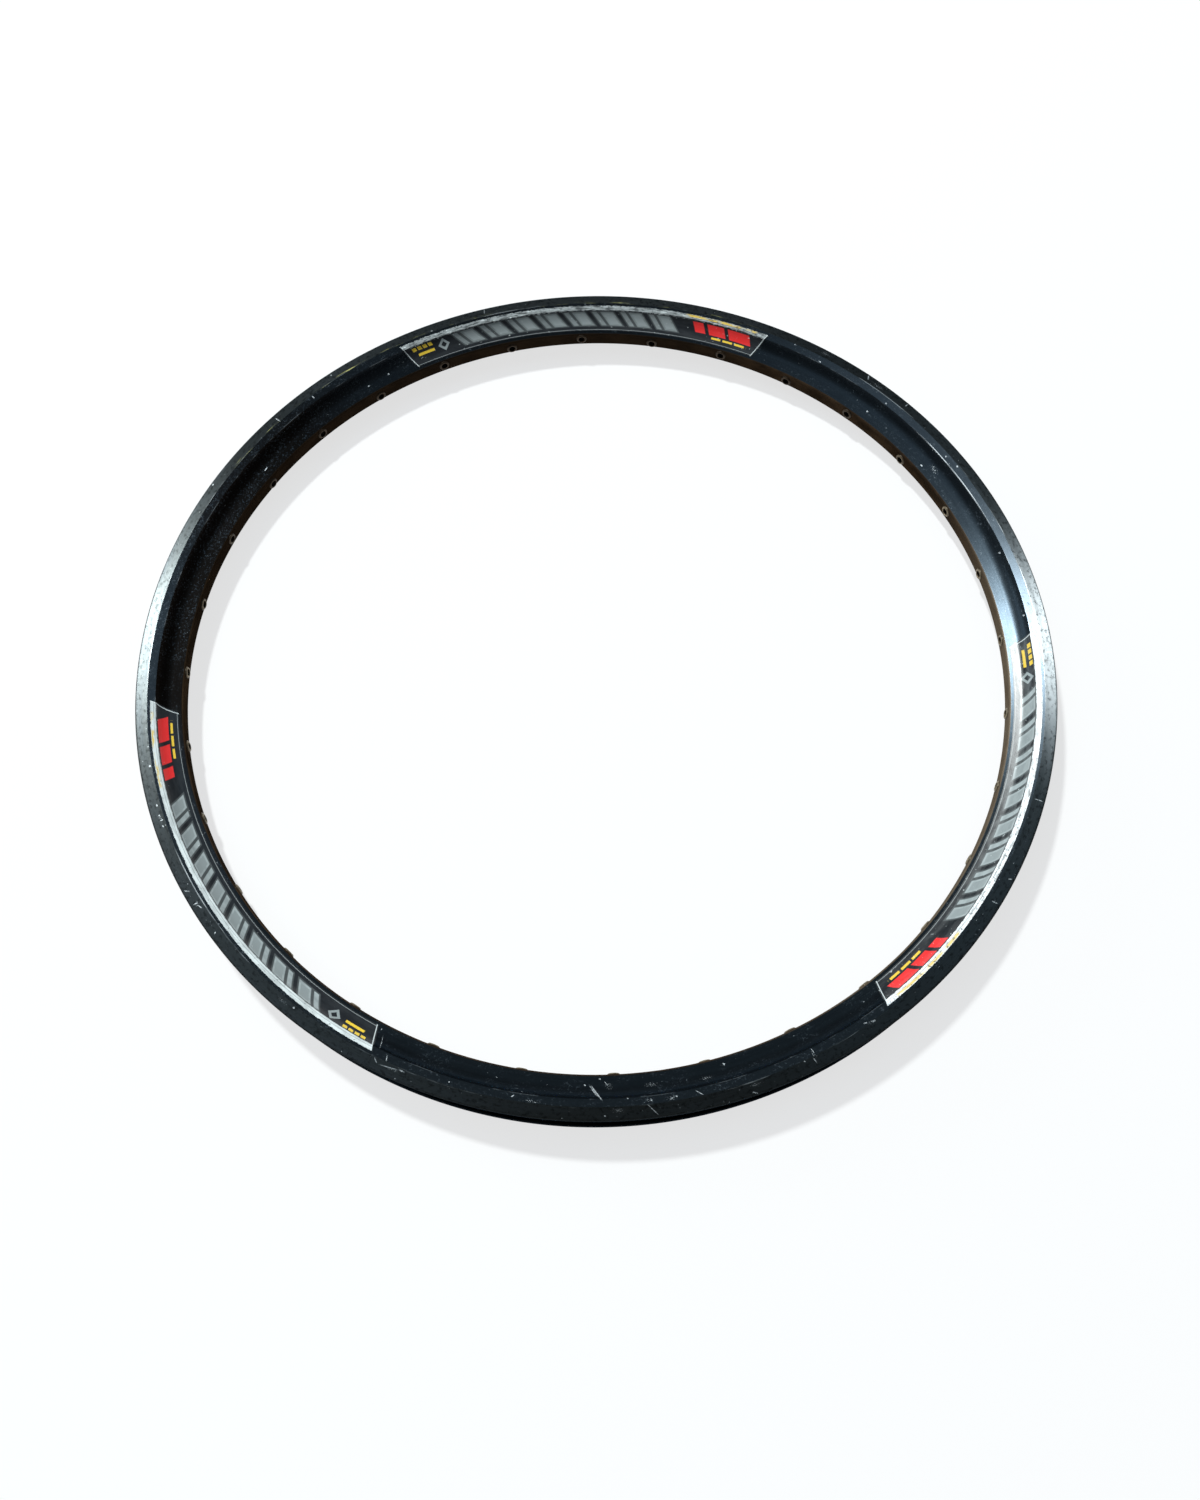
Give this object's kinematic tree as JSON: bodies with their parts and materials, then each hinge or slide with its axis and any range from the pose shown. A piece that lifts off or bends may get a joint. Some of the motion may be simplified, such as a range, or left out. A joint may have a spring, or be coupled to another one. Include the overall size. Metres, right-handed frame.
{
  "type": "bicycle rim",
  "caption": "Double-wall bicycle rim: a hollow hoop with hooked tyre flanges, coved side walls, eyeleted spoke holes and printed film labels.",
  "frame": {"origin": "centre of the wheel, on the axis and on the rim's mid-plane", "axes": "+Z along the wheel axis, out of the labelled side that faces up in the picture; +X to the right and +Y to the far side of the picture"},
  "size_m": [0.572, 0.5719, 0.032],
  "materials": {
    "black_alloy": "black anodised, fine turned grain, scuffed",
    "eyelet_brass": "dull, slightly tarnished",
    "plain_alloy": "plain extruded",
    "label_film": "printed film, worn"
  },
  "bodies": {
    "root": {"rim_hoop": "black_alloy", "eyelets": "eyelet_brass", "joint_sleeve": "plain_alloy", "decals": "label_film"}
  },
  "joints": []
}
